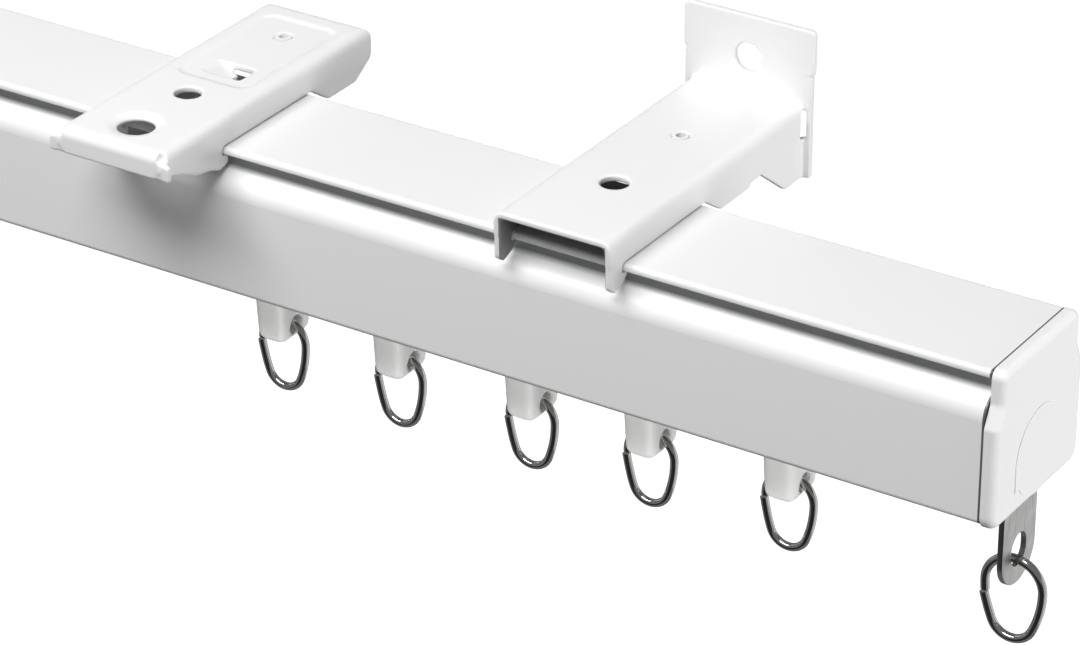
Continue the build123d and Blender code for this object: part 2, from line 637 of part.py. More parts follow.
def wall_plate():
    """The plate bent up against the wall, with a round notch in each side for the ears."""
    height = WALL_PLATE_TOP - BRACKET_UNDERSIDE
    plate = Box(WALL_PLATE_WIDTH, STEEL, height)
    plate = fillet(plate.edges().filter_by(Axis.Y).group_by(Axis.Z)[-1], WALL_PLATE_RADIUS)
    plate = Pos(0, WALL_TO_RAIL - STEEL / 2, BRACKET_UNDERSIDE + height / 2) * plate
    below = NOTCH_HEIGHT - BRACKET_UNDERSIDE
    for side in (-1, 1):
        edge = side * WALL_PLATE_WIDTH / 2
        plate -= Pos(edge, WALL_TO_RAIL, NOTCH_HEIGHT) * Rot(90, 0, 0) * Cylinder(NOTCH_RADIUS, 4 * STEEL)
        clearing = Box(WALL_PLATE_WIDTH - BRACKET_WIDTH, 4 * STEEL, below)
        plate -= Pos(edge, WALL_TO_RAIL, NOTCH_HEIGHT - below / 2) * clearing
    return plate


def rear_ear():
    """The right flange's rear end, curled out flat against the wall, with a round top in the notch."""
    bend = (HALF_BRACKET + EAR_BEND_INSIDE, WALL_TO_RAIL - STEEL - EAR_BEND_INSIDE)
    curl = Pos(*bend, -FOOT_DROP) * extrude(ear_plan(), FOOT_DROP + EAR_SLOT_BOTTOM)
    inner = HALF_BRACKET + EAR_GAP
    strip_height = NOTCH_HEIGHT - EAR_SLOT_BOTTOM
    strip = Box(EAR_REACH - inner, STEEL, strip_height)
    strip = Pos((EAR_REACH + inner) / 2, 0, NOTCH_HEIGHT - strip_height / 2) * strip
    disc = Rot(90, 0, 0) * Cylinder(NOTCH_RADIUS - EAR_GAP, STEEL)
    disc = Pos(WALL_PLATE_WIDTH / 2, 0, NOTCH_HEIGHT) * disc
    disc &= Pos(EAR_REACH / 2, 0, NOTCH_HEIGHT) * Box(EAR_REACH, STEEL, 2 * NOTCH_RADIUS)
    return curl + Pos(0, WALL_TO_RAIL - STEEL / 2, 0) * (strip + disc)


def wall_shell():
    """The wall bracket's pressed arm: two hooks, a plate bent up at the wall, ears and a foot below."""
    shell = cut_to_outline(steel_channel(WALL_FRONT, WALL_TO_RAIL, FOOT_DROP), wall_outline())
    shell += wall_plate()
    shell = shell + bend_filling(WALL_PLATE_BEND) - bend_filling(WALL_PLATE_BEND + STEEL)
    flange_end = WALL_TO_RAIL - STEEL - EAR_BEND_INSIDE - EAR_GAP
    relief = Box(2 * STEEL, WALL_TO_RAIL - flange_end, EAR_SLOT_TOP + FOOT_DROP, align=Align.MIN)
    relief = Pos(HALF_BRACKET - STEEL - RIM, flange_end, -FOOT_DROP) * relief
    shell = shell - relief - mirror(relief, Plane.YZ)
    shell = shell + rear_ear() + mirror(rear_ear(), Plane.YZ)
    shell -= Pos(0, WALL_TO_RAIL, HOLE_ABOVE_RAIL) * Rot(90, 0, 0) * Cylinder(WALL_PLATE_HOLE_RADIUS, 4 * STEEL)
    shell -= round_hole(ARM_HOLE_RADIUS, ARM_HOLE_PLACE)
    return shell - round_hole(RIVET_RADIUS + RIM, WALL_PIVOT)


def lever(pivot, underside):
    """The locking lever under a bracket: a nose under the rail's back lip, a tail with a thumb tab."""
    nose = pivot - (HALF_TOP - LEVER_NOSE_BITE)
    plan = Pos(0, -nose / 2) * Rectangle(LEVER_NOSE_WIDTH, nose)
    plan = fillet(plan.vertices().group_by(Axis.Y)[0], LEVER_NOSE_WIDTH / 4)
    plan += Pos(0, LEVER_TAIL / 2) * Rectangle(LEVER_NOSE_WIDTH, LEVER_TAIL)
    plan += Circle(LEVER_HUB_RADIUS)
    body = extrude(Pos(0, 0, LEVER_BOTTOM) * plan, LEVER_THICKNESS)
    hub_height = underside - LEVER_GAP - LEVER_TOP
    body += Pos(0, 0, LEVER_TOP + hub_height / 2) * Cylinder(LEVER_HUB_RADIUS, hub_height)
    tab = Box(LEVER_NOSE_WIDTH, LEVER_THICKNESS, LEVER_TAB_DROP)
    body += Pos(0, LEVER_TAIL - LEVER_THICKNESS / 2, LEVER_TOP - LEVER_TAB_DROP / 2) * tab
    body -= Cylinder(RIVET_RADIUS + RIVET_FIT, 4 * BRACKET_RISE)
    return Pos(0, pivot, 0) * body


def rivet(pivot, top):
    """The tubular steel rivet that carries a lever, closed flush in the bracket's top."""
    head_top = LEVER_BOTTOM - RIVET_FIT
    head = Pos(0, 0, head_top - RIVET_HEAD_THICKNESS / 2) * Cylinder(RIVET_HEAD_RADIUS, RIVET_HEAD_THICKNESS)
    shank = Pos(0, 0, (head_top + top) / 2) * Cylinder(RIVET_RADIUS, top - head_top)
    bore = Pos(0, 0, top - RIVET_BORE_DEPTH / 2) * Cylinder(RIVET_BORE_RADIUS, RIVET_BORE_DEPTH)
    return Pos(0, pivot, 0) * (head + shank - bore)


def make_parts():
    """Every piece by its name, at its place."""
    parts = {
        "rail": rail(),
        "end_cap_right": Pos(CAP_SEAM, 0, 0) * end_cap(True),
        "end_cap_left": Pos(-RAIL_LENGTH - CAP_SEAM, 0, 0) * Rot(0, 0, 180) * end_cap(False),
        "end_stop_strip": Pos(CAP_SEAM, 0, 0) * end_strip(),
        "end_stop_ring": Pos(CAP_SEAM - STRIP_THICKNESS / 2, 0, end_ring_top_height())
        * split_ring(END_RING_WIDTH, END_RING_HEIGHT, END_RING_WIRE, END_RING_BOTTOM_RADIUS),
        "ceiling_bracket_shell": Pos(CEILING_PLACE, 0, 0) * ceiling_shell(),
        "ceiling_bracket_lever": Pos(CEILING_PLACE, 0, 0)
        * lever(CEILING_PIVOT, BRACKET_UNDERSIDE - PAD_DEPTH),
        "ceiling_bracket_rivet": Pos(CEILING_PLACE, 0, 0) * rivet(CEILING_PIVOT, BRACKET_RISE - PAD_DEPTH),
        "wall_bracket_shell": Pos(WALL_PLACE, 0, 0) * wall_shell(),
        "wall_bracket_lever": Pos(WALL_PLACE, 0, 0) * lever(WALL_PIVOT, BRACKET_UNDERSIDE),
        "wall_bracket_rivet": Pos(WALL_PLACE, 0, 0) * rivet(WALL_PIVOT, BRACKET_RISE),
    }
    glider = {
        "body": glider_body(),
        "axle": axle(),
        "wheel_front": wheel(-1),
        "wheel_back": wheel(1),
        "ring": Pos(0, 0, ring_top_height())
        * split_ring(RING_WIDTH, RING_HEIGHT, RING_WIRE, RING_BOTTOM_RADIUS),
    }
    for number, place in enumerate(GLIDER_PLACES, start=1):
        for name, shape in glider.items():
            parts[f"glider_{number}_{name}"] = Pos(place, 0, 0) * shape
    return parts


os.makedirs("parts", exist_ok=True)
for name, shape in make_parts().items():
    export_step(on_rail(shape), f"parts/{name}.step")
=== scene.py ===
from math import asin, atan2, cos, pi, radians, sin

import bmesh
import bpy
from mathutils import Matrix, Vector


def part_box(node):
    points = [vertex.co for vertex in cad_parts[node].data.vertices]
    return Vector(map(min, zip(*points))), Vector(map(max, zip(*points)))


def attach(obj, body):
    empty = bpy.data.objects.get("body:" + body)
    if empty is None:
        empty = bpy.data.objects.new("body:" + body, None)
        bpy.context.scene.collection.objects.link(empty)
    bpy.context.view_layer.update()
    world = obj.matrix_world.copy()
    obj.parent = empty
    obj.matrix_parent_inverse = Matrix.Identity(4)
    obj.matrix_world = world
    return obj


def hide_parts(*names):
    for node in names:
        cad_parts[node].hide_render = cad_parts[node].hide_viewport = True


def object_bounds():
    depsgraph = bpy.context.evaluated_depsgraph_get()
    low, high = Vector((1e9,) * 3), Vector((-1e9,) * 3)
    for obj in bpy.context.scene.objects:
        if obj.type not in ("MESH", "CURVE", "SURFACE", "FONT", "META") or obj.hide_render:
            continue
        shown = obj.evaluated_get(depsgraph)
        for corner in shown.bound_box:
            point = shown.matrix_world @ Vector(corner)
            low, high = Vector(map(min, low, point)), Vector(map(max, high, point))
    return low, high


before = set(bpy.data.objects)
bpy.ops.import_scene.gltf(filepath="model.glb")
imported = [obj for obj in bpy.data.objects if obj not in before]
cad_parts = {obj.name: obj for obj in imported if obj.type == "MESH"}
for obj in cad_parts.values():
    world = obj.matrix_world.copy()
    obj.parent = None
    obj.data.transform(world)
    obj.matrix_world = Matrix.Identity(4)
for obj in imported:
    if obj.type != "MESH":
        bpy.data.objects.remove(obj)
cad_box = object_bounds()

# The rail
# A length of extruded aluminium curtain track, white powder coat baked on. It is cut to length and
# carries everything else: brackets hook over its top plate, gliders roll on the floor inside it.

MM = 0.001
NOISE_LOW = 0.3
NOISE_HIGH = 0.7
RAIL_MIDDLE_Y = -45.2 * MM
RAIL_TOP_Z = -10.6 * MM
GROOVE_TOP = 1.25 * MM
GROOVE_BOTTOM = 4.3 * MM
GROOVE_FADE = 0.5 * MM
GROOVE_REACH = 11.9 * MM
RAIL_END_X = 75.0 * MM
SEAM_SHADOW_WIDTH = 0.32 * MM
RAIL_WHITE = "F4F4F4"
# Painted shade: the grey tinted into the groove under the lip, where the lip shadows it.
GROOVE_PAINTED_SHADE = "A3A4A6"
# Painted shadow: the dark line tinted along the rail's right end, where it meets the cap.
SEAM_PAINTED_SHADOW = "5E6063"


def linear_colour(hex_colour):
    """A colour written as sRGB hex, as the linear RGBA that shaders want."""
    channels = [int(hex_colour[i : i + 2], 16) / 255 for i in (0, 2, 4)]
    linear = [c / 12.92 if c <= 0.04045 else ((c + 0.055) / 1.055) ** 2.4 for c in channels]
    return (*linear, 1.0)


def add_node(tree, kind, inputs=None, **settings):
    """Adds a node, sets its properties, and fills or links its inputs by name or number."""
    node = tree.nodes.new(kind)
    for name, value in settings.items():
        setattr(node, name, value)
    for key, value in (inputs or {}).items():
        if isinstance(value, bpy.types.NodeSocket):
            tree.links.new(value, node.inputs[key])
        else:
            node.inputs[key].default_value = value
    return node


def new_finish(name, colour, roughness, **more):
    """A material with one surface shader, its plain values set on the shader's own sockets."""
    material = bpy.data.materials.new(name)
    material.use_nodes = True
    shader = material.node_tree.nodes["Principled BSDF"]
    shader.inputs["Base Color"].default_value = linear_colour(colour)
    shader.inputs["Roughness"].default_value = roughness
    for socket, value in more.items():
        shader.inputs[socket.replace("_", " ")].default_value = value
    return material, shader


def noise_pattern(tree, size, detail=2.0, stretch=(1, 1, 1)):
    """Noise in object space whose blobs are about `size` metres wide, stretched along any axis."""
    source = add_node(tree, "ShaderNodeTexCoord").outputs["Object"]
    mapping = add_node(tree, "ShaderNodeMapping", {"Vector": source, "Scale": stretch})
    inputs = {"Vector": mapping.outputs[0], "Scale": 1 / size, "Detail": detail}
    return add_node(tree, "ShaderNodeTexNoise", inputs).outputs[0]


def rough_between(tree, shader, pattern, smoothest, roughest):
    """Lets the roughness wander between two values, over the range that noise mostly keeps to."""
    inputs = {"Value": pattern, "From Min": NOISE_LOW, "From Max": NOISE_HIGH}
    inputs.update({"To Min": smoothest, "To Max": roughest})
    spread = add_node(tree, "ShaderNodeMapRange", inputs)
    tree.links.new(spread.outputs[0], shader.inputs["Roughness"])


def relief_from(tree, shader, pattern, height, strength):
    """Raises the surface a little where a pattern is bright."""
    inputs = {"Height": pattern, "Distance": height, "Strength": strength}
    bump = add_node(tree, "ShaderNodeBump", inputs)
    tree.links.new(bump.outputs["Normal"], shader.inputs["Normal"])


def tint_between(tree, shader, pattern, low, high, first, second):
    """Lets the base colour wander between two colours as a pattern goes from low to high."""
    inputs = {"Value": pattern, "From Min": low, "From Max": high}
    blend = add_node(tree, "ShaderNodeMapRange", inputs)
    inputs = {"Factor": blend.outputs[0], 6: linear_colour(first), 7: linear_colour(second)}
    mix = add_node(tree, "ShaderNodeMix", inputs, data_type="RGBA")
    tree.links.new(mix.outputs[2], shader.inputs["Base Color"])
    return mix


def dress(material, *nodes):
    """Gives CAD pieces a finish in all their material slots."""
    for name in nodes:
        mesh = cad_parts[name].data
        if not mesh.materials:
            mesh.materials.append(material)
        for number in range(len(mesh.materials)):
            mesh.materials[number] = material


# Polyester powder coat on aluminium: an even satin white with a very fine orange peel, which
# breaks up the edge of every highlight. The narrow groove under the lip is tinted grey as painted
# shade, where the lip shadows it, and a thin dark line of painted shadow runs along the right end,
# where the rail meets its cap.
rail_coat, rail_shader = new_finish("powder_coated_aluminium", RAIL_WHITE, roughness=0.34, IOR=1.5)
tree = rail_coat.node_tree
orange_peel = noise_pattern(tree, size=1.6 * MM)
relief_from(tree, rail_shader, orange_peel, height=0.02 * MM, strength=0.14)
dull_patches = noise_pattern(tree, size=9 * MM, detail=3.0)
rough_between(tree, rail_shader, dull_patches, smoothest=0.31, roughest=0.38)
place = add_node(tree, "ShaderNodeTexCoord")
axes = add_node(tree, "ShaderNodeSeparateXYZ", {0: place.outputs["Object"]})
# Painted shade: the band of the groove under the lip, within its reach, is tinted grey for the
# shadow the lip casts.
groove_middle = RAIL_TOP_Z - (GROOVE_TOP + GROOVE_BOTTOM) / 2
off_middle = add_node(
    tree, "ShaderNodeMath", {0: axes.outputs[2], 1: groove_middle}, operation="SUBTRACT"
)
away = add_node(tree, "ShaderNodeMath", {0: off_middle.outputs[0]}, operation="ABSOLUTE")
groove_half = (GROOVE_BOTTOM - GROOVE_TOP) / 2
groove_shade_band = add_node(
    tree,
    "ShaderNodeMapRange",
    {"Value": away.outputs[0], "From Min": groove_half, "From Max": groove_half - GROOVE_FADE},
)
to_side = add_node(
    tree, "ShaderNodeMath", {0: axes.outputs[1], 1: RAIL_MIDDLE_Y}, operation="SUBTRACT"
)
side = add_node(tree, "ShaderNodeMath", {0: to_side.outputs[0]}, operation="ABSOLUTE")
inside_lip = add_node(
    tree, "ShaderNodeMath", {0: side.outputs[0], 1: GROOVE_REACH}, operation="LESS_THAN"
)
inputs = {0: groove_shade_band.outputs[0], 1: inside_lip.outputs[0]}
groove_shade = add_node(tree, "ShaderNodeMath", inputs, operation="MULTIPLY")
shaded_coat_colour = tint_between(tree, rail_shader, groove_shade.outputs[0], 0.0, 1.0, RAIL_WHITE, GROOVE_PAINTED_SHADE)
# Painted shadow: the rail's last 0.32 mm at the right end is tinted dark grey for the shadow in
# the seam with the cap.
inputs = {0: axes.outputs[0], 1: RAIL_END_X - SEAM_SHADOW_WIDTH}
in_seam_shadow = add_node(tree, "ShaderNodeMath", inputs, operation="GREATER_THAN")
inputs = {"Factor": in_seam_shadow.outputs[0], 6: shaded_coat_colour.outputs[2], 7: linear_colour(SEAM_PAINTED_SHADOW)}
with_seam_shadow = add_node(tree, "ShaderNodeMix", inputs, data_type="RGBA")
tree.links.new(with_seam_shadow.outputs[2], rail_shader.inputs["Base Color"])
dress(rail_coat, "rail")

# The end caps
# One moulded white plastic cap pushed into each end of the rail, held by the grip of its plug.
# The right one also carries the end stop's strip on a peg.

# Moulded ABS: a clean cool white, smoother than the coated metal, with a faint grain and the slow
# waviness that plastic gets as it shrinks in the mould.
cap_plastic, cap_shader = new_finish("moulded_white_abs", "F5F5F5", roughness=0.3, IOR=1.52)
cap_shader.inputs["Subsurface Weight"].default_value = 0.08
cap_shader.inputs["Subsurface Radius"].default_value = (0.8 * MM, 0.8 * MM, 0.8 * MM)
cap_shader.inputs["Subsurface Scale"].default_value = 1.0
tree = cap_plastic.node_tree
shrink_waves = noise_pattern(tree, size=6 * MM)
relief_from(tree, cap_shader, shrink_waves, height=0.05 * MM, strength=0.15)
faint_grain = noise_pattern(tree, size=2 * MM)
rough_between(tree, cap_shader, faint_grain, smoothest=0.29, roughest=0.34)
dress(cap_plastic, "end_cap_right", "end_cap_left")

# The end stop's strip
# A flat hanger blanked from cold rolled steel strip. It hangs on a peg behind the right cap, with
# its round end and slot showing below the rail.

WELD_DISTANCE = 0.0005 * MM
STRIP_EDGE_ROUNDING = 0.12 * MM


def merged_copy(node, name, body):
    """A welded copy of a CAD piece that takes the piece's place."""
    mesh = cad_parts[node].data.copy()
    mesh.name = name
    shape = bmesh.new()
    shape.from_mesh(mesh)
    bmesh.ops.remove_doubles(shape, verts=shape.verts, dist=WELD_DISTANCE)
    bmesh.ops.recalc_face_normals(shape, faces=shape.faces)
    shape.to_mesh(mesh)
    shape.free()
    piece = bpy.data.objects.new(name, mesh)
    bpy.context.scene.collection.objects.link(piece)
    mesh.materials.clear()
    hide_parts(node)
    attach(piece, body)
    return piece


def finished_mesh(piece):
    """Turns what the piece's modifiers make into its own plain mesh and drops the modifiers."""
    graph = bpy.context.evaluated_depsgraph_get()
    mesh = bpy.data.meshes.new_from_object(piece.evaluated_get(graph))
    piece.modifiers.clear()
    piece.data = mesh


def soften_edges(piece, width, angle=30):
    """Rounds every edge sharper than an angle, as tumbling and paint do, and shades it smooth."""
    bevel = piece.modifiers.new("edge_rounding", "BEVEL")
    bevel.width = width
    bevel.segments = 3
    bevel.limit_method = "ANGLE"
    bevel.angle_limit = radians(angle)
    bevel.use_clamp_overlap = False
    for face in piece.data.polygons:
        face.use_smooth = True
    flat_faces = piece.modifiers.new("even_flats", "WEIGHTED_NORMAL")
    flat_faces.keep_sharp = True


# Rolled steel strip: mid grey and half matt, with fine lines in the rolling direction, down the
# strip. They are drawn 0.25 mm apart, coarser than real ones, so that they show.
strip_steel, strip_shader = new_finish(
    "rolled_steel_strip", "BDBDBC", roughness=0.32, Metallic=1.0
)
tree = strip_steel.node_tree
rolling_lines = noise_pattern(tree, size=0.25 * MM, stretch=(1, 1, 0.02))
relief_from(tree, strip_shader, rolling_lines, height=0.01 * MM, strength=0.3)
rough_between(tree, strip_shader, rolling_lines, smoothest=0.26, roughest=0.42)
mill_patches = noise_pattern(tree, size=3 * MM)
tint_between(tree, strip_shader, mill_patches, 0.35, 0.65, "B4B4B3", "C2C2C1")
strip = merged_copy("end_stop_strip", "rolled_strip_hanger", "track")
strip.data.materials.append(strip_steel)
soften_edges(strip, STRIP_EDGE_ROUNDING)

# The ceiling and wall brackets
# Pressed from 1.2 mm steel sheet and powder coated white after forming. Two hooks hold the rail's
# front lip and a turned steel lever, riveted underneath, locks behind the back lip.

INNER_HALF = 9.85 * MM
UNDERSIDE_Z = -6.35 * MM
LIP_BACK_Y = -72.8 * MM
# Painted shade: the grey tinted inside the wall bracket's channel.
CHANNEL_PAINTED_SHADE = "8A8B8C"
# The rest are plain millimetres, but for the slope in degrees and the number of passes.
CEILING_X = -76.6
CEILING_FRONT_Y = -74.2
CEILING_BACK_Y = -14.8
BRACKET_TOP_Z = -5.4
SHEET_BEND = 1.8
BURR_REACH = 10.1
BURR_Y = -73.25
BURR_LOW = -8.5
BURR_HIGH = -7.7
BURR_RADIUS = 0.95
LIP_FILL_SIZE = (20.5, 1.0, 3.0)
LIP_FILL_PLACE = (CEILING_X, -73.5, -8.5)
TONGUE_SIZE = (4.6, 4.7, 0.95)
TONGUE_ROOT = (-80.55, -41.1, -5.7)
TONGUE_SLOPE = 25.0
COAT_GRAIN = 0.24
COAT_PASSES = 8


def add_burr(piece, across, along, low, high, radius):
    """A round upright bead of pressed-out metal, in millimetres, for the skin to run over."""
    bead = bmesh.new()
    bead.from_mesh(piece.data)
    ball = bmesh.ops.create_uvsphere(bead, u_segments=16, v_segments=8, radius=radius * MM)
    for vert in ball["verts"]:
        vert.co.z += (high if vert.co.z > 0 else low) * MM
        vert.co.x += across * MM
        vert.co.y += along * MM
    bead.to_mesh(piece.data)
    bead.free()


def add_block(piece, size, place, slope=0.0, start=0.5):
    """A block of sheet, in millimetres, hinged at its `start`, for the skin to join on."""
    sheet = bmesh.new()
    sheet.from_mesh(piece.data)
    corners = bmesh.ops.create_cube(sheet, size=1.0)["verts"]
    turn = Matrix.Rotation(radians(slope), 3, "Y")
    for vert in corners:
        along = (vert.co.x + 0.5 - start) * size[0]
        spot = Vector((along, vert.co.y * size[1], vert.co.z * size[2]))
        vert.co = (turn @ spot + Vector(place)) * MM
    sheet.to_mesh(piece.data)
    sheet.free()


def roll_edge(piece, edge_y, edge_z, radius, inward):
    """Rounds the fold that runs across a bracket, where the sheet turns down, to a real bend."""
    middle_y = edge_y + inward * radius
    middle_z = edge_z - radius
    for vert in piece.data.vertices:
        ahead = (vert.co.y / MM - middle_y) * -inward
        above = vert.co.z / MM - middle_z
        far = (ahead**2 + above**2) ** 0.5
        if ahead > 0 and above > 0 and far > radius:
            vert.co.y = (middle_y - inward * ahead * radius / far) * MM
            vert.co.z = (middle_z + above * radius / far) * MM


def lay_skin(piece, grain, passes):
    """Lays an even skin over a piece that runs round every edge, as powder or a mould leaves it.

    The mesh is worked on in millimetres, laid out afresh in small squares and eased.
    """
    piece.data.transform(Matrix.Scale(1 / MM, 4))
    skin = piece.modifiers.new("skin", "REMESH")
    skin.mode = "VOXEL"
    skin.voxel_size = grain
    easing = piece.modifiers.new("easing", "SMOOTH")
    easing.factor = 0.5
    easing.iterations = passes
    finished_mesh(piece)
    piece.data.transform(Matrix.Scale(MM, 4))
    for face in piece.data.polygons:
        face.use_smooth = True


# Powder coat on pressed steel: thicker and softer at the edges than on the rail, with orange peel
# that shows as slow ripples in the highlights along the folds. The wall bracket's inner faces,
# inside its channel, are tinted grey as painted shade, where the bracket shades them.
bracket_coat, bracket_shader = new_finish("powder_coated_steel", "F5F5F5", roughness=0.36, IOR=1.5)
tree = bracket_coat.node_tree
orange_peel = noise_pattern(tree, size=1.9 * MM)
relief_from(tree, bracket_shader, orange_peel, height=0.03 * MM, strength=0.16)
dull_patches = noise_pattern(tree, size=7 * MM, detail=3.0)
rough_between(tree, bracket_shader, dull_patches, smoothest=0.32, roughest=0.4)
# Painted shade: faces inside the wall bracket's channel, below its underside and behind the lip,
# are tinted grey for the shade the bracket casts on them.
place = add_node(tree, "ShaderNodeTexCoord")
axes = add_node(tree, "ShaderNodeSeparateXYZ", {0: place.outputs["Object"]})
away = add_node(tree, "ShaderNodeMath", {0: axes.outputs[0]}, operation="ABSOLUTE")
inputs = {0: away.outputs[0], 1: INNER_HALF}
between = add_node(tree, "ShaderNodeMath", inputs, operation="LESS_THAN")
inputs = {0: axes.outputs[2], 1: UNDERSIDE_Z}
below = add_node(tree, "ShaderNodeMath", inputs, operation="LESS_THAN")
inputs = {0: between.outputs[0], 1: below.outputs[0]}
within = add_node(tree, "ShaderNodeMath", inputs, operation="MULTIPLY")
inputs = {0: axes.outputs[1], 1: LIP_BACK_Y}
behind_lip = add_node(tree, "ShaderNodeMath", inputs, operation="GREATER_THAN")
inputs = {0: within.outputs[0], 1: behind_lip.outputs[0]}
channel_shade = add_node(tree, "ShaderNodeMath", inputs, operation="MULTIPLY")
tint_between(tree, bracket_shader, channel_shade.outputs[0], 0.0, 1.0, "F5F5F5", CHANNEL_PAINTED_SHADE)
for kind in ("ceiling", "wall"):
    shell = merged_copy(f"{kind}_bracket_shell", f"{kind}_bracket_coated", "track")
    if kind == "ceiling":
        for side in (-1, 1):
            across = CEILING_X + side * BURR_REACH
            add_burr(shell, across, BURR_Y, BURR_LOW, BURR_HIGH, BURR_RADIUS)
        add_block(shell, LIP_FILL_SIZE, LIP_FILL_PLACE)
        drop = Vector((0, 0, TONGUE_SIZE[2] / 2))
        add_block(shell, TONGUE_SIZE, Vector(TONGUE_ROOT) - drop, TONGUE_SLOPE, start=0.0)
    lay_skin(shell, COAT_GRAIN, COAT_PASSES)
    if kind == "ceiling":
        roll_edge(shell, CEILING_FRONT_Y, BRACKET_TOP_Z, SHEET_BEND, 1)
        roll_edge(shell, CEILING_BACK_Y, BRACKET_TOP_Z, SHEET_BEND, -1)
    shell.data.materials.append(bracket_coat)

# Bright zinc plate: a blue grey metal with pale and dark patches a few millimetres across, where
# the plating bath left thicker and thinner zinc.
zinc, zinc_shader = new_finish("bright_zinc_plate", "BFC3C8", roughness=0.3, Metallic=1.0)
tree = zinc.node_tree
bath_patches = noise_pattern(tree, size=2.5 * MM, detail=3.0)
tint_between(tree, zinc_shader, bath_patches, 0.35, 0.65, "AEB3B9", "CBCED2")
rough_between(tree, zinc_shader, bath_patches, smoothest=0.24, roughest=0.4)
crystals = noise_pattern(tree, size=0.4 * MM)
relief_from(tree, zinc_shader, crystals, height=0.01 * MM, strength=0.3)
dress(zinc, "ceiling_bracket_lever", "wall_bracket_lever")
dress(bracket_coat, "ceiling_bracket_rivet", "wall_bracket_rivet")

# The split rings
# Each is a length of nickel plated steel wire bent round into an egg shape, narrower at the
# bottom. Its two ends stay a little apart on the left, where a curtain hook is slipped in.

# Sizes are plain millimetres, the rest are counts.
RING_CUT = 0.5
SPRING_OUT = 0.3
SPRING_LENGTH = 4.0
BELOW_CUT_STEPS = 12
BOTTOM_STEPS = 28
RIGHT_STEPS = 14
TOP_STEPS = 36
ABOVE_CUT_STEPS = 5
WIRE_SIDES = 20
DRAW_LINES_ALONG = 60.0
DRAW_LINES_ROUND = 26.0


def arc_points(middle, radius, start, end, steps):
    """Points of an arc in the XZ plane, both ends included."""
    angles = [start + (end - start) * step / steps for step in range(steps + 1)]
    return [(middle[0] + radius * cos(a), 0.0, middle[1] + radius * sin(a)) for a in angles]


def ring_line(width, height, wire, bottom_radius, cut_drop):
    """The wire's middle line from one side of its cut to the other, with its top at the origin."""
    radius = (width - wire) / 2
    reach = height - wire - radius - bottom_radius
    side_radius = (radius**2 + reach**2 - bottom_radius**2) / (2 * (radius - bottom_radius))
    shift = side_radius - radius
    turn = atan2(reach, shift)
    cut = asin(cut_drop / side_radius)
    half_gap = RING_CUT / 2 / side_radius
    left, right, top = (shift, -radius), (-shift, -radius), (0, -radius)
    bottom = (0, -radius - reach)
    line = arc_points(left, side_radius, pi + cut + half_gap, pi + turn, BELOW_CUT_STEPS)
    line += arc_points(bottom, bottom_radius, pi + turn, 2 * pi - turn, BOTTOM_STEPS)[1:]
    line += arc_points(right, side_radius, -turn, 0, RIGHT_STEPS)[1:]
    line += arc_points(top, radius, 0, pi, TOP_STEPS)[1:]
    return line + arc_points(left, side_radius, pi, pi + cut - half_gap, ABOVE_CUT_STEPS)[1:]


def wire_tree():
    """Nodes that sweep a wire along a line and keep each point's place along and round it."""
    tree = bpy.data.node_groups.new("bent_wire", "GeometryNodeTree")
    sockets = tree.interface
    sockets.new_socket("Line", in_out="INPUT", socket_type="NodeSocketGeometry")
    wire = sockets.new_socket("Wire", in_out="INPUT", socket_type="NodeSocketFloat")
    finish = sockets.new_socket("Finish", in_out="INPUT", socket_type="NodeSocketMaterial")
    sockets.new_socket("Ring", in_out="OUTPUT", socket_type="NodeSocketGeometry")
    entry = add_node(tree, "NodeGroupInput")
    inputs = {0: entry.outputs["Wire"], 1: 0.5}
    half = add_node(tree, "ShaderNodeMath", inputs, operation="MULTIPLY")
    inputs = {"Resolution": WIRE_SIDES, "Radius": half.outputs[0]}
    section = add_node(tree, "GeometryNodeCurvePrimitiveCircle", inputs)
    parameter = add_node(tree, "GeometryNodeSplineParameter")
    inputs = {0: entry.outputs["Line"]}
    along = add_node(tree, "GeometryNodeStoreNamedAttribute", inputs, domain="POINT")
    along.inputs["Name"].default_value = "along_wire"
    tree.links.new(parameter.outputs["Length"], along.inputs["Value"])
    inputs = {0: section.outputs[0]}
    round_it = add_node(tree, "GeometryNodeStoreNamedAttribute", inputs, domain="POINT")
    round_it.inputs["Name"].default_value = "round_wire"
    tree.links.new(parameter.outputs["Factor"], round_it.inputs["Value"])
    inputs = {"Curve": along.outputs[0], "Profile Curve": round_it.outputs[0], "Fill Caps": True}
    swept = add_node(tree, "GeometryNodeCurveToMesh", inputs)
    smooth = add_node(tree, "GeometryNodeSetShadeSmooth", {0: swept.outputs[0]})
    real = add_node(tree, "GeometryNodeRealizeInstances", {0: smooth.outputs[0]})
    coated = add_node(tree, "GeometryNodeSetMaterial", {0: real.outputs[0]})
    tree.links.new(entry.outputs["Finish"], coated.inputs["Material"])
    add_node(tree, "NodeGroupOutput", {0: coated.outputs[0]})
    return tree, wire.identifier, finish.identifier


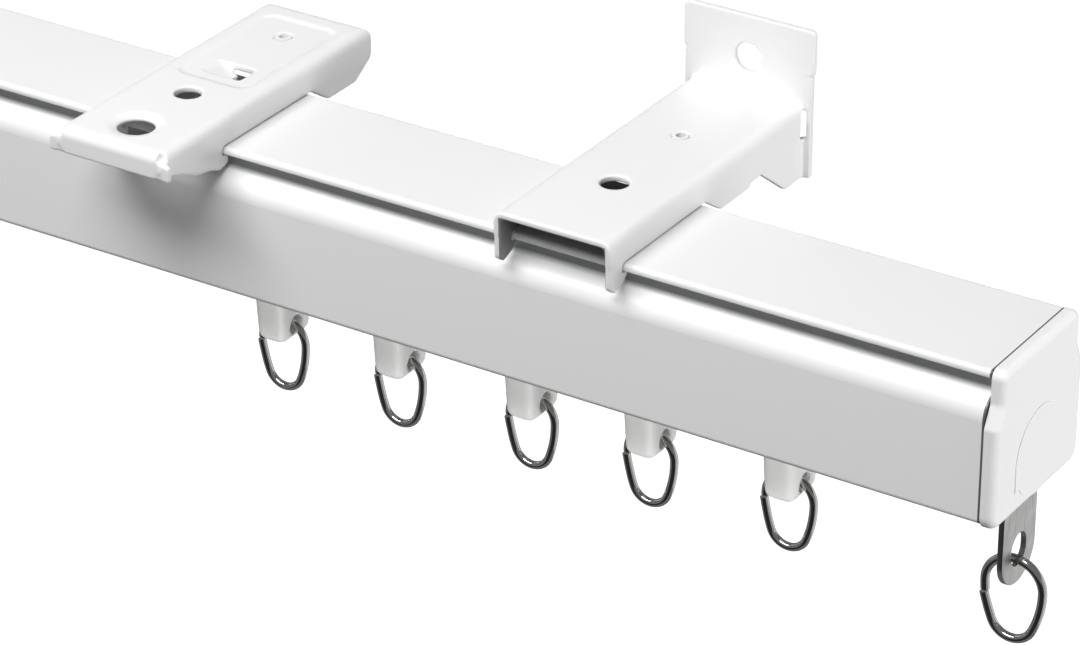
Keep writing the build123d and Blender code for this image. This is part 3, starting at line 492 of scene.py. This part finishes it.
# Nickel plate on drawn wire: a neutral, nearly mirror bright metal that goes black and white with
# what stands round it. The drawing die leaves faint lines along the wire. They are drawn about
# 0.2 mm apart, coarser than real ones, so that they show.
nickel, nickel_shader = new_finish("nickel_plated_wire", "CDCCCA", roughness=0.12, Metallic=1.0)
tree = nickel.node_tree
along_wire = add_node(tree, "ShaderNodeAttribute", attribute_name="along_wire")
round_wire = add_node(tree, "ShaderNodeAttribute", attribute_name="round_wire")
inputs = {0: along_wire.outputs["Fac"], 1: DRAW_LINES_ALONG}
lengthwise = add_node(tree, "ShaderNodeMath", inputs, operation="MULTIPLY")
inputs = {0: round_wire.outputs["Fac"], 1: DRAW_LINES_ROUND}
crosswise = add_node(tree, "ShaderNodeMath", inputs, operation="MULTIPLY")
inputs = {0: lengthwise.outputs[0], 1: crosswise.outputs[0]}
unrolled = add_node(tree, "ShaderNodeCombineXYZ", inputs)
inputs = {"Vector": unrolled.outputs[0], "Scale": 1.0}
draw_lines = add_node(tree, "ShaderNodeTexNoise", inputs).outputs[0]
relief_from(tree, nickel_shader, draw_lines, height=0.01 * MM, strength=0.2)
rough_between(tree, nickel_shader, draw_lines, smoothest=0.08, roughest=0.18)

bent_wire, wire_input, finish_input = wire_tree()


def sprung_out(point, width, wire, cut_drop):
    """Moves the lower end of the cut wire outwards a little, as it springs back after bending."""
    below_cut = (width - wire) / 2 + cut_drop + point[2]
    if point[0] > 0 or below_cut > 0:
        return Vector(point)
    fade = max(0.0, 1 + below_cut / SPRING_LENGTH)
    return Vector((point[0] - SPRING_OUT * fade**2, 0.0, point[2]))


def split_ring(node, body, width, height, wire, bottom_radius, cut_drop):
    """Sweeps one ring where its CAD node hangs and hands it the node's place and body."""
    low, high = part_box(node)
    line = bpy.data.curves.new(f"{node}_line", "CURVE")
    line.dimensions = "3D"
    spline = line.splines.new("POLY")
    points = ring_line(width, height, wire, bottom_radius, cut_drop)
    spline.points.add(len(points) - 1)
    hang = Vector(((low[0] + high[0]) / 2, (low[1] + high[1]) / 2, high[2] - wire / 2 * MM))
    for point, spot in zip(spline.points, points):
        point.co = (*(hang + sprung_out(spot, width, wire, cut_drop) * MM), 1.0)
    bender = bpy.data.objects.new(f"{node}_bender", line)
    bpy.context.scene.collection.objects.link(bender)
    modifier = bender.modifiers.new("bent_wire", "NODES")
    modifier.node_group = bent_wire
    modifier[wire_input] = wire * MM
    modifier[finish_input] = nickel
    graph = bpy.context.evaluated_depsgraph_get()
    mesh = bpy.data.meshes.new_from_object(bender.evaluated_get(graph))
    bpy.data.objects.remove(bender)
    ring = bpy.data.objects.new(f"{node}_wire", mesh)
    bpy.context.scene.collection.objects.link(ring)
    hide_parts(node)
    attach(ring, body)


split_ring(
    "end_stop_ring",
    "end_ring",
    width=11.5,
    height=15.9,
    wire=1.5,
    bottom_radius=3.8,
    cut_drop=2.2,
)

# The gliders
# Five moulded nylon bodies, each with two nylon wheels on a steel pin. The tab that comes down
# through the rail's slot carries the ring.

# Sizes are plain millimetres; the passes are a count and the roundness is an exponent.
MOULDING_GRAIN = 0.35
MOULDING_PASSES = 16
TAB_TOP_Z = -36.6
TAB_ROUNDNESS = 6.0
LEVEL_HEIGHT = 0.5


def round_tab(piece):
    """Rounds the tab's upright corners, level by level, into the soft plan a mould gives it."""
    tab = [vert for vert in piece.data.vertices if vert.co.z < TAB_TOP_Z * MM]
    middle = [(min(v.co[i] for v in tab) + max(v.co[i] for v in tab)) / 2 for i in (0, 1)]
    levels = {}
    for vert in tab:
        levels.setdefault(round(vert.co.z / MM / LEVEL_HEIGHT), []).append(vert)
    for level in levels.values():
        half = [max(abs(v.co[i] - middle[i]) for v in level) for i in (0, 1)]
        for vert in level:
            out = sum(abs((vert.co[i] - middle[i]) / half[i]) ** TAB_ROUNDNESS for i in (0, 1))
            if out > 1:
                for i in (0, 1):
                    vert.co[i] = middle[i] + (vert.co[i] - middle[i]) / out ** (1 / TAB_ROUNDNESS)


# Moulded nylon: white but slightly see-through, so that thin places glow and shadows go soft, with
# a waxy sheen and faint flow marks down the tab.
nylon, nylon_shader = new_finish("moulded_nylon", "F2F2F0", roughness=0.42, IOR=1.53)
nylon_shader.inputs["Subsurface Weight"].default_value = 0.35
nylon_shader.inputs["Subsurface Radius"].default_value = (1.6 * MM, 1.5 * MM, 1.4 * MM)
nylon_shader.inputs["Subsurface Scale"].default_value = 1.0
tree = nylon.node_tree
flow_marks = noise_pattern(tree, size=1.8 * MM, detail=3.0, stretch=(1, 1, 0.3))
relief_from(tree, nylon_shader, flow_marks, height=0.04 * MM, strength=0.3)
rough_between(tree, nylon_shader, flow_marks, smoothest=0.36, roughest=0.5)
bodies_below_rail = []
for number in range(1, 6):
    body = merged_copy(
        f"glider_{number}_body", f"glider_{number}_moulding", f"glider_{number}"
    )
    lay_skin(body, MOULDING_GRAIN, passes=1)
    round_tab(body)
    lay_skin(body, MOULDING_GRAIN, MOULDING_PASSES)
    body.data.materials.append(nylon)
    bodies_below_rail.append(body)
    dress(nylon, f"glider_{number}_wheel_front", f"glider_{number}_wheel_back")
    dress(zinc, f"glider_{number}_axle")
    split_ring(
        f"glider_{number}_ring",
        f"glider_{number}_hook_ring",
        width=10.2,
        height=14.6,
        wire=1.4,
        bottom_radius=3.4,
        cut_drop=0.7,
    )

# The studio
# A pale floor well below the hanging track, one large soft light above and in front, and two at
# the right for the cap. The room is dim, which leaves the grooves and undersides dark; painted
# shade darkens the rail's groove and the wall bracket's channel further. Only the camera sees the
# room paler, as the backdrop.

FLOOR_DROP = 0.30
FLOOR_SIZE = 8.0
FLOOR_GLOW = 0.7
WALL_BRIGHTNESS = 0.72
ROOM_LIGHT = 0.16
ROOM_GLOSS = 0.2
floor_paint, floor_shader = new_finish("pale_floor", "FFFFFF", roughness=0.9)
floor_shader.inputs["Emission Color"].default_value = (1, 1, 1, 1)
floor_shader.inputs["Emission Strength"].default_value = FLOOR_GLOW
bpy.ops.mesh.primitive_plane_add(size=FLOOR_SIZE, location=(0, 0, cad_box[0].z - FLOOR_DROP))
floor = bpy.context.object
floor.name = "floor"
floor.data.materials.append(floor_paint)
floor.visible_diffuse = False
floor.visible_glossy = False

world = bpy.data.worlds.new("studio")
bpy.context.scene.world = world
world.use_nodes = True
world.node_tree.nodes["Background"].inputs["Color"].default_value = (1, 1, 1, 1)
tree = world.node_tree
ray = add_node(tree, "ShaderNodeLightPath")
inputs = {"Value": ray.outputs["Is Glossy Ray"], "To Min": ROOM_LIGHT, "To Max": ROOM_GLOSS}
room = add_node(tree, "ShaderNodeMapRange", inputs)
inputs = {0: ray.outputs["Is Camera Ray"], 1: WALL_BRIGHTNESS, 2: room.outputs[0]}
paler = add_node(tree, "ShaderNodeMath", inputs, operation="MULTIPLY_ADD")
tree.links.new(paler.outputs[0], tree.nodes["Background"].inputs["Strength"])


def soft_light(name, place, target, size, power):
    """A rectangular softbox that faces a point."""
    light = bpy.data.lights.new(name, "AREA")
    light.shape = "RECTANGLE"
    light.size, light.size_y = size
    light.energy = power
    lamp = bpy.data.objects.new(name, light)
    bpy.context.scene.collection.objects.link(lamp)
    lamp.location = place
    lamp.rotation_mode = "QUATERNION"
    lamp.rotation_quaternion = (Vector(target) - Vector(place)).to_track_quat("-Z", "Y")
    return lamp


MIDDLE = (-0.03, -0.045, -0.02)
RIGHT_HALF = (0.03, -0.045, -0.03)
soft_light("key", (-0.13, -0.435, 0.63), MIDDLE, size=(0.7, 0.35), power=7.0)

# The two at the right are kept out of reflections, which would blow the cap and strip white.
right_light = soft_light("right", (0.80, 0.06, -0.12), RIGHT_HALF, size=(0.5, 0.2), power=3.2)
right_light.visible_glossy = False
high_light = soft_light("high_right", (0.80, 0.02, 0.05), MIDDLE, size=(0.3, 0.06), power=1.1)
high_light.visible_glossy = False


def studio_card(name, place, target, width, height, brightness):
    """A card that only gloss and metal see, as a photographer stands it out of the view."""
    card_paint, card_shader = new_finish(f"{name}_paint", "000000", roughness=1.0)
    card_shader.inputs["Emission Color"].default_value = (1, 1, 1, 1)
    card_shader.inputs["Emission Strength"].default_value = brightness
    bpy.ops.mesh.primitive_plane_add(size=1.0, location=place)
    card = bpy.context.object
    card.name = name
    card.scale = (width, height, 1)
    card.rotation_mode = "QUATERNION"
    card.rotation_quaternion = (Vector(target) - Vector(place)).to_track_quat("Z", "Y")
    card.data.materials.append(card_paint)
    card.visible_camera = False
    card.visible_diffuse = False
    card.visible_shadow = False


# Two pale cards at the right and a dark one low in front, for gloss and metal to mirror. Each
# has its place, the point that it faces, its width, height and brightness.
CARDS_FACE = (0.05, -0.045, -0.06)
studio_card("right_card", (0.44, 0.36, -0.24), CARDS_FACE, 0.75, 0.85, 0.8)
studio_card("front_right_card", (0.60, -0.12, -0.24), CARDS_FACE, 0.35, 0.8, 0.5)
studio_card("dark_front_card", (0.137, -0.479, -0.296), CARDS_FACE, 1.1, 0.5, 0.02)

# A reflector low in front throws light up under the rail, and only the glider bodies take it.
under_rail = bpy.data.collections.new("under_rail")
for body in bodies_below_rail:
    under_rail.objects.link(body)
reflector = soft_light("reflector", (0.10, -0.35, -0.28), MIDDLE, size=(0.5, 0.3), power=1.2)
reflector.light_linking.receiver_collection = under_rail

# The camera
# It stands in front of the right end and above, turned along the rail as in the photograph.

CAMERA_PLACE = (0.3384, -0.5943, 0.3160)
CAMERA_LOOK = (-0.4746, 0.7427, -0.4722)
SENSOR_WIDTH = 36.0
LENS = 152.17
camera_data = bpy.data.cameras.new("camera")
camera_data.sensor_width = SENSOR_WIDTH
camera_data.lens = LENS
camera = bpy.data.objects.new("camera", camera_data)
bpy.context.scene.collection.objects.link(camera)
camera.location = CAMERA_PLACE
camera.rotation_mode = "QUATERNION"
camera.rotation_quaternion = Vector(CAMERA_LOOK).to_track_quat("-Z", "Y")
bpy.context.scene.camera = camera
bpy.context.scene.view_settings.view_transform = "Standard"
